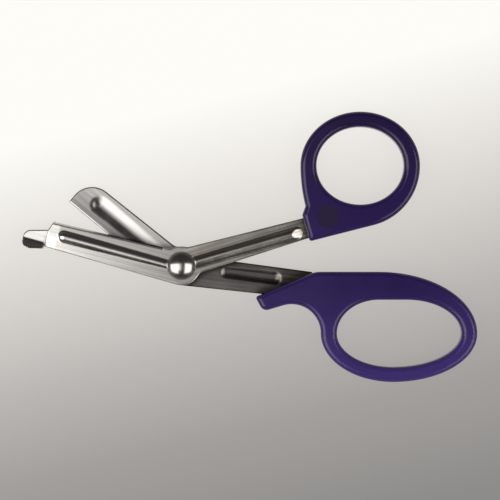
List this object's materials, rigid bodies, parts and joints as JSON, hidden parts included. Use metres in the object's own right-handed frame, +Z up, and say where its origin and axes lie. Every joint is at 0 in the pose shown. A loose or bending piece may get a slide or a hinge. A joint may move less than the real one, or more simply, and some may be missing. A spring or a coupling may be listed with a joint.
{
  "type": "bandage scissors",
  "caption": "Angled bandage scissors with a blunt safety foot, pressed steel blades on a domed rivet, and moulded plastic handles with a thumb ring and a long finger ring.",
  "frame": {"origin": "on the pivot axis, at the flat back of the rivet, which lies on the floor", "axes": "+X from the jaws toward the handles, +Y toward the thumb ring's side, +Z up along the pivot axis, out of the rivet's domed head"},
  "size_m": [0.1817, 0.1079, 0.0084],
  "materials": {
    "blade_steel": "satin-polished stainless steel sheet",
    "rivet_steel": "polished stainless steel",
    "handle_plastic": "smooth purple moulding with a soft gloss"
  },
  "bodies": {
    "thumb_half": {"lower_blade": "blade_steel", "thumb_handle": "handle_plastic", "pivot_rivet": "rivet_steel"},
    "finger_half": {"upper_blade": "blade_steel", "finger_handle": "handle_plastic"}
  },
  "joints": [
    {"name": "blade_pivot", "type": "hinge", "parent": "thumb_half", "child": "finger_half", "pos_m": [0, 0, 0], "axis": [0, 0, -1], "range_deg": [-13, 57]}
  ]
}
